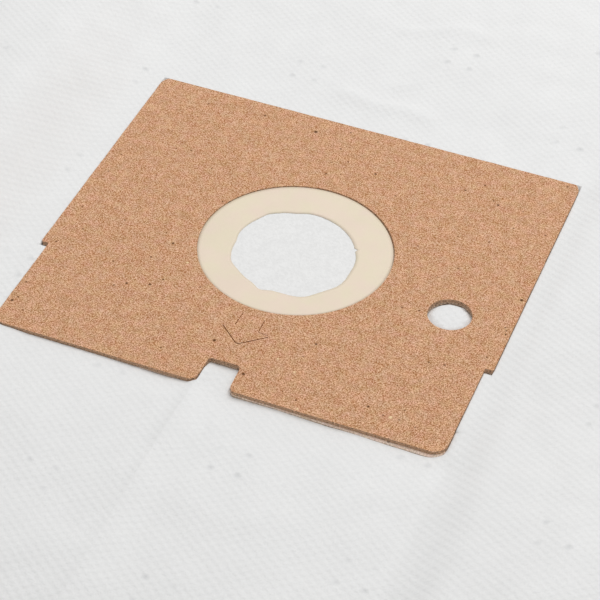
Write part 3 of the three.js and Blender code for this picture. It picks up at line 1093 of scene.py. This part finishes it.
def ply_mesh(collar, peek, bottom, top, seed):
    """One die-cut ply without its holes. Its edge wanders a little from the die's line."""
    bm = bmesh.new()
    corners = ply_corners(collar, peek)
    verts = [bm.verts.new((x, y, bottom)) for x, y, radius in corners]
    bm.faces.new(verts)
    by_radius = {}
    for vert, corner in zip(verts, corners):
        by_radius.setdefault(corner[2], []).append(vert)
    for radius, group in by_radius.items():
        round_corners(bm, group, radius)
    bmesh.ops.delete(bm, geom=bm.faces[:], context="FACES_ONLY")
    for edge in bm.edges[:]:
        cuts = int(edge.calc_length() / EDGE_STEP)
        if cuts > 0:
            bmesh.ops.subdivide_edges(bm, edges=[edge], cuts=cuts)
    for vert in bm.verts:
        place = Vector((vert.co.x, vert.co.y, seed))
        for axis in (0, 1):
            aside = Vector((0.0, 0.0, 7.0 * axis))
            wander = sum(noise.noise(place / span + aside) for span in WANDER_SPANS)
            vert.co[axis] += collar.edge_wander * wander
    filled = bmesh.ops.edgeloop_fill(bm, edges=bm.edges[:])["faces"]
    raised = bmesh.ops.extrude_face_region(bm, geom=filled, use_keep_orig=True)["geom"]
    upper = [item for item in raised if isinstance(item, bmesh.types.BMVert)]
    bmesh.ops.translate(bm, vec=(0.0, 0.0, top - bottom), verts=upper)
    bmesh.ops.recalc_face_normals(bm, faces=bm.faces)
    for face in bm.faces:
        face.material_index = FACE if abs(face.normal.z) > 0.5 else EDGE
    return bm


def cut_out(piece, cutter):
    """Subtracts a cutter, whose walls keep its own material, and removes it."""
    cut = piece.modifiers.new("cut", "BOOLEAN")
    cut.operation = "DIFFERENCE"
    cut.solver = "EXACT"
    cut.material_mode = "TRANSFER"
    cut.object = cutter
    bpy.context.view_layer.update()
    settle(piece)
    bpy.data.objects.remove(cutter)


# Steps of a punched hole, and the share of a scored line's width that the faintest one has
PUNCH_STEPS = 180
FAINTEST = 0.4


def round_cutter(radius, x, y, material):
    bm = bmesh.new()
    place = Matrix.Translation((x, y, (BACKING_LOW.z + CARD_HIGH.z) / 2.0))
    bmesh.ops.create_cone(
        bm,
        cap_ends=True,
        segments=PUNCH_STEPS,
        radius1=radius,
        radius2=radius,
        depth=4.0 * (CARD_HIGH.z - BACKING_LOW.z),
        matrix=place,
    )
    return new_piece("cutter", bm, [material])


def score_cutter(start, end, collar, strength, material):
    """A narrow box along one scored line, open at the card's upper face."""
    width = collar.score_width * (FAINTEST + (1.0 - FAINTEST) * strength)
    depth = collar.score_depth * strength
    run = Vector(end) - Vector(start)
    bm = bmesh.new()
    bmesh.ops.create_cube(bm, size=1.0)
    bmesh.ops.scale(bm, vec=(run.length, width, 2.0 * depth), verts=bm.verts)
    bmesh.ops.rotate(
        bm, cent=(0, 0, 0), matrix=Matrix.Rotation(math.atan2(run.y, run.x), 3, "Z"), verts=bm.verts
    )
    middle = (Vector(start) + Vector(end)) / 2.0
    bmesh.ops.translate(bm, vec=(middle.x, middle.y, CARD_HIGH.z), verts=bm.verts)
    return new_piece("cutter", bm, [material])


def arrow_strokes(collar):
    """The scored strokes as start, end and strength. Some are broken and faint."""
    top = INLET.y - collar.arrow_from_inlet
    shoulder = top - collar.shaft_length
    tip = top - collar.arrow_length
    shaft, wing = collar.shaft_width / 2.0, collar.arrow_width / 2.0
    blunt = 0.0004
    return [
        ((-wing + 0.0002, shoulder - 0.0012), (-blunt, tip + 0.0002), 1.0),
        ((-blunt, tip + 0.0002), (blunt, tip + 0.0001), 1.0),
        ((blunt, tip + 0.0001), (wing + 0.0002, shoulder - 0.0011), 0.9),
        ((shaft + 0.0002, shoulder - 0.0004), (wing, shoulder - 0.0006), 0.5),
        ((shaft, top - 0.0009), (shaft + 0.0001, shoulder - 0.0002), 0.7),
        ((-shaft + 0.0004, top - 0.0005), (-shaft + 0.0003, top - 0.0022), 0.45),
        ((-shaft + 0.0003, top - 0.0027), (-shaft + 0.0002, shoulder - 0.0001), 0.7),
    ]


# A softened edge's faces slant, with a normal whose height is between these. Where the normal
# also leans sideways by this much, the edge is one of the card's sides.
SLANT_LOW, SLANT_HIGH = 0.2, 0.95
SIDEWAYS = 0.35


def finish_ply(piece, collar, is_lower):
    """Softens the die-cut edges and gives the upper ones their finish.

    On the lower ply they look like the face in front. On the upper ply they are worn pale at the
    sides and look like the cut edge behind.
    """
    worn = piece.modifiers.new("worn_edges", "BEVEL")
    worn.width = collar.edge_wear
    worn.segments = 2
    worn.limit_method = "ANGLE"
    worn.angle_limit = math.radians(60)
    settle(piece)
    for face in piece.data.polygons:
        if not SLANT_LOW < face.normal.z < SLANT_HIGH:
            continue
        if is_lower:
            if face.center.y < CARD_LOW.y + collar.front_radius:
                face.material_index = FACE
        elif abs(face.normal.x) > SIDEWAYS:
            face.material_index = RIM
        elif face.center.y > CARD_HIGH.y - collar.back_clip_along:
            face.material_index = EDGE
    piece.data.shade_smooth()
    piece.data.set_sharp_from_angle(angle=math.radians(38))


def build_plies(collar, lower, upper):
    """Both plies, from the materials of each in the order of FACE, EDGE, SCORE and RIM."""
    pin = pin_place(collar)
    split = BACKING_HIGH.z
    pieces = []
    for name, peek, bottom, top, seed, materials in (
        ("collar_lower_ply", collar.backing_peek, BACKING_LOW.z, split, 3.0, lower),
        ("collar_upper_ply", 0.0, split, CARD_HIGH.z, 0.0, upper),
    ):
        bm = ply_mesh(collar, peek, bottom, top, seed)
        piece = new_piece(name, bm, materials)
        edge = materials[EDGE]
        cut_out(piece, round_cutter(collar.inlet_radius, INLET.x + collar.punch_slip, INLET.y, edge))
        cut_out(piece, round_cutter(collar.pin_radius, pin.x, pin.y, edge))
        if len(materials) > SCORE:
            for start, end, strength in arrow_strokes(collar):
                cut_out(piece, score_cutter(start, end, collar, strength, materials[SCORE]))
        finish_ply(piece, collar, is_lower=materials is lower)
        pieces.append(piece)
    return pieces


# Where the torn hole's edge leaves its usual radius: direction and half-width in degrees,
# and distance in metres. The narrow one is a nick.
TEARS = [
    (8, 12, 0.0003),
    (26, 1.3, 0.0007),
    (90, 12, 0.0001),
    (109, 8, -0.0004),
    (135, 7, 0.0004),
    (187, 9, -0.0005),
    (215, 9, 0.00045),
    (261, 7, 0.0009),
    (299, 15, 0.00125),
    (333, 18, 0.00105),
]


# The torn edge is ragged: how much, and how finely round the hole
RAGGED_DEPTH = 0.00006
RAGGED_TURNS = 14.0

# Rings of the film from its torn edge to the card and between the plies, and steps round it
FREE_RINGS, HELD_RINGS = 10, 3
FILM_STEPS = 360

# Gap between the film's dome and the card's wall
FILM_GAP = 0.0002


def hole_radius(angle, film):
    """Radius of the torn hole in a direction."""
    radius = film.hole_radius
    for middle, half_width, reach in TEARS:
        turn = (math.degrees(angle) - middle + 180.0) % 360.0 - 180.0
        radius += reach * math.exp(-((turn / half_width) ** 2))
    ragged = noise.noise(Vector((math.cos(angle), math.sin(angle), 0.0)) * RAGGED_TURNS)
    return radius + RAGGED_DEPTH * ragged


def build_membrane(film, inlet_radius, material):
    """A ring of film spun round the inlet, domed inside it, with a torn inner edge."""
    outer = (FILM_HIGH.x - FILM_LOW.x) / 2.0
    rings = FREE_RINGS + 1 + HELD_RINGS
    bm = bmesh.new()
    line = [bm.verts.new((i / rings, 0.0, 0.0)) for i in range(rings + 1)]
    for a, b in zip(line, line[1:]):
        bm.edges.new((a, b))
    bmesh.ops.translate(bm, vec=(1.0, 0.0, 0.0), verts=bm.verts)
    bmesh.ops.spin(
        bm,
        geom=bm.verts[:] + bm.edges[:],
        cent=(0, 0, 0),
        axis=(0, 0, 1),
        angle=math.tau,
        steps=FILM_STEPS,
        use_merge=True,
    )
    for vert in bm.verts:
        angle = math.atan2(vert.co.y, vert.co.x)
        ring = round((vert.co.xy.length - 1.0) * rings)
        direction = Vector((math.cos(angle), math.sin(angle), 0.0))
        torn = direction * hole_radius(angle, film) - Vector((0.0, film.hole_slip, 0.0))
        if ring <= FREE_RINGS:
            out = ring / FREE_RINGS
            place = torn.lerp(direction * (inlet_radius - FILM_GAP), out)
            ripple = noise.noise(Vector((direction.x, direction.y, 1.0)) * 3.0)
            height = film.rise - film.sag * (1.0 - smoothstep(out, 0.0, 0.8)) * (0.8 + 0.6 * ripple)
        else:
            step = ring - FREE_RINGS - 1
            place = direction * (inlet_radius + (outer - inlet_radius) * step / HELD_RINGS)
            height = 0.0
        vert.co = Vector((INLET.x, INLET.y, FILM_HIGH.z + height)) + place
    bmesh.ops.recalc_face_normals(bm, faces=bm.faces)
    if sum(face.normal.z for face in bm.faces) < 0.0:
        bmesh.ops.reverse_faces(bm, faces=bm.faces)
    piece = new_piece("torn_membrane", bm, [material])
    thicken(piece, film.thickness)
    return piece


# Operators

def groups():
    """The shared node groups, built once."""
    made = bpy.data.node_groups
    return {
        "specks": made.get("Specks") or make_speck_group(),
        "spot": made.get("Spot") or make_spot_group(),
        "pulp": made.get("Board Pulp") or make_board_group(),
        "cloth": made.get("Nonwoven") or make_cloth_group(),
    }


class DUSTBAG_OT_make_panels(bpy.types.Operator):
    """Make the front and back panels of embossed nonwoven"""

    bl_idname = "dust_bag.make_panels"
    bl_label = "Nonwoven Panels"

    def execute(self, context):
        settings = context.scene
        cloth, collar = settings.dust_bag_cloth, settings.dust_bag_collar
        material = cloth_material(groups()["cloth"], cloth)
        front = build_front_panel(cloth, collar, material)
        back = build_back_panel(cloth, inner_material(cloth), material)
        for piece, node in ((front, "bag_front_panel"), (back, "bag_back_panel")):
            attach(piece, BODY)
            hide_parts(node)
        return {"FINISHED"}


class DUSTBAG_OT_make_collar(bpy.types.Operator):
    """Make the two die-cut plies of the card collar"""

    bl_idname = "dust_bag.make_collar"
    bl_label = "Card Collar"

    def execute(self, context):
        collar = context.scene.dust_bag_collar
        shared = groups()
        lower, upper = build_plies(
            collar,
            lower=(
                board_face_material(
                    "lower_face", shared, collar.backing_deep, collar.backing_pale
                ),
                board_edge_material("lower_edge", shared, collar.edge),
            ),
            upper=(
                board_face_material("upper_face", shared, collar.deep, collar.pale),
                board_edge_material("upper_edge", shared, collar.upper_edge),
                score_material(shared, collar),
                board_face_material("worn_rim", shared, collar.rim_deep, collar.rim_pale),
            ),
        )
        for piece, node in ((lower, "collar_backing_card"), (upper, "collar_card")):
            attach(piece, BODY)
            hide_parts(node)
        return {"FINISHED"}


class DUSTBAG_OT_make_membrane(bpy.types.Operator):
    """Make the torn seal membrane"""

    bl_idname = "dust_bag.make_membrane"
    bl_label = "Seal Membrane"

    def execute(self, context):
        film = context.scene.dust_bag_film
        inlet_radius = context.scene.dust_bag_collar.inlet_radius
        piece = build_membrane(film, inlet_radius, film_material(film))
        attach(piece, BODY)
        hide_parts("seal_membrane")
        return {"FINISHED"}


class DUSTBAG_OT_make_studio(bpy.types.Operator):
    """Make the camera, the soft lights and the floor"""

    bl_idname = "dust_bag.make_studio"
    bl_label = "Studio"

    def execute(self, context):
        studio = context.scene.dust_bag_studio
        make_camera(context.scene, studio)
        make_lights(context.scene, studio)
        make_floor(studio)
        context.scene.view_settings.view_transform = "Standard"
        return {"FINISHED"}


SENSOR_MM = 36.0


def make_camera(scene, studio):
    data = bpy.data.cameras.new("camera")
    data.lens = studio.lens
    data.sensor_width = SENSOR_MM
    data.clip_start = 0.01
    camera = bpy.data.objects.new("camera", data)
    look = Vector(studio.target) - Vector(studio.eye)
    camera.rotation_mode = "QUATERNION"
    turn = look.to_track_quat("-Z", "Y") @ Quaternion((0.0, 0.0, 1.0), studio.roll)
    camera.rotation_quaternion = turn
    camera.location = studio.eye
    scene.collection.objects.link(camera)
    scene.camera = camera


def make_lights(scene, studio):
    data = bpy.data.lights.new("softbox", "AREA")
    data.shape = "RECTANGLE"
    data.size = studio.softbox_size
    data.size_y = studio.softbox_size
    data.energy = studio.softbox_power
    lamp = bpy.data.objects.new("softbox", data)
    lamp.location = studio.softbox_place
    lamp.rotation_mode = "QUATERNION"
    lamp.rotation_quaternion = (-lamp.location).to_track_quat("-Z", "Y")
    scene.collection.objects.link(lamp)

    world = bpy.data.worlds.new("room")
    world.use_nodes = True
    scene.world = world
    wiring = Wiring(world.node_tree)
    room = world.node_tree.nodes["Background"]
    room.inputs["Color"].default_value = (1.0, 1.0, 1.0, 1.0)
    rays = wiring.add("LightPath")
    seen = wiring.math("MAXIMUM", rays.outputs["Is Camera Ray"], rays.outputs["Is Glossy Ray"])
    wiring.feed(room.inputs["Strength"], wiring.ramp(seen, 0, 1, studio.room_light, studio.backdrop))


# Half the floor's side, and how far it lies below the bag
FLOOR_REACH = 3.0
FLOOR_DROP = 0.0002


def make_floor(studio):
    bm = bmesh.new()
    bmesh.ops.create_grid(bm, x_segments=8, y_segments=8, size=FLOOR_REACH)
    bmesh.ops.translate(bm, vec=(0.0, 0.0, -FLOOR_DROP), verts=bm.verts)
    material, _, shader, _ = new_material("pale_floor", 0.85)
    shader.inputs["Base Color"].default_value = solid(studio.floor)
    new_piece("studio_floor", bm, [material])


class DUSTBAG_PT_sidebar(bpy.types.Panel):
    """Lists the pieces of the dust bag"""

    bl_idname = "DUSTBAG_PT_sidebar"
    bl_label = "Dust Bag"
    bl_space_type = "VIEW_3D"
    bl_region_type = "UI"
    bl_category = "Dust Bag"

    def draw(self, context):
        for maker in MAKERS:
            self.layout.operator(maker.bl_idname)


SETTINGS = {
    "dust_bag_cloth": ClothSettings,
    "dust_bag_collar": CollarSettings,
    "dust_bag_film": FilmSettings,
    "dust_bag_studio": StudioSettings,
}
MAKERS = (
    DUSTBAG_OT_make_panels,
    DUSTBAG_OT_make_collar,
    DUSTBAG_OT_make_membrane,
    DUSTBAG_OT_make_studio,
)


def register():
    for settings in SETTINGS.values():
        bpy.utils.register_class(settings)
    for name, settings in SETTINGS.items():
        setattr(bpy.types.Scene, name, bpy.props.PointerProperty(type=settings))
    for maker in MAKERS:
        bpy.utils.register_class(maker)
    bpy.utils.register_class(DUSTBAG_PT_sidebar)


def unregister():
    bpy.utils.unregister_class(DUSTBAG_PT_sidebar)
    for maker in reversed(MAKERS):
        bpy.utils.unregister_class(maker)
    for name, settings in SETTINGS.items():
        delattr(bpy.types.Scene, name)
        bpy.utils.unregister_class(settings)


def main():
    register()
    bpy.ops.dust_bag.make_panels()
    bpy.ops.dust_bag.make_collar()
    bpy.ops.dust_bag.make_membrane()
    bpy.ops.dust_bag.make_studio()


if __name__ == "__main__":
    main()
